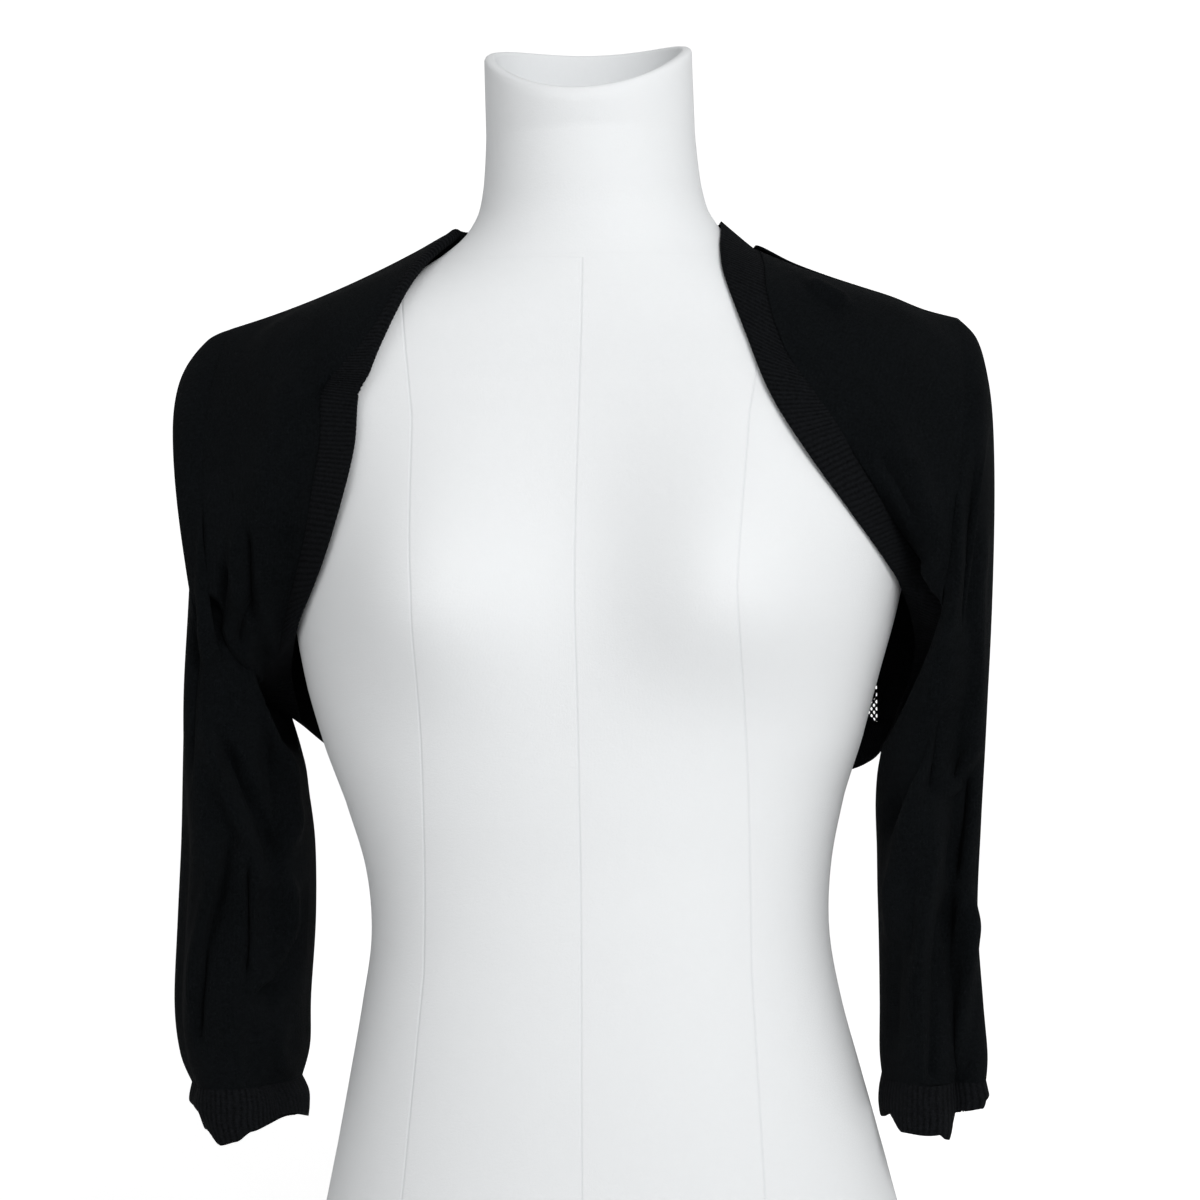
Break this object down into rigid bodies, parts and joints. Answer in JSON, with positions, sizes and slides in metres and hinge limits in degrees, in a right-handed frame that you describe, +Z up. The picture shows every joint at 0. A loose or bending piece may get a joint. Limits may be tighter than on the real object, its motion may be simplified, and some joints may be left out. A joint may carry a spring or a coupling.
{
  "type": "knitted shrug on a limbless dress form",
  "caption": "Open-front black knitted shrug with ribbed edge band, lace back inset and three-quarter sleeves, standing on a white limbless dress form cropped at the hips.",
  "frame": {"origin": "middle of the form's flat base, on the floor", "axes": "+Z up; the wearer faces -Y; +X is the wearer's left"},
  "size_m": [0.4411, 0.2555, 0.682],
  "materials": {
    "form_cover": "matte white jersey stretched over a rigid dress form",
    "black_knit": "matte fine-gauge plain knit, black",
    "black_rib": "matte ribbed knit, black",
    "black_lace": "matte openwork knit, black"
  },
  "bodies": {
    "root": {"back": "black_knit", "back_lace": "black_lace", "band_front_left": "black_rib", "band_front_right": "black_rib", "band_hem": "black_rib", "band_neck": "black_rib", "cuff_left": "black_rib", "cuff_right": "black_rib", "dress_form": "form_cover", "front_left": "black_knit", "front_right": "black_knit", "sleeve_left": "black_knit", "sleeve_right": "black_knit"}
  },
  "joints": []
}
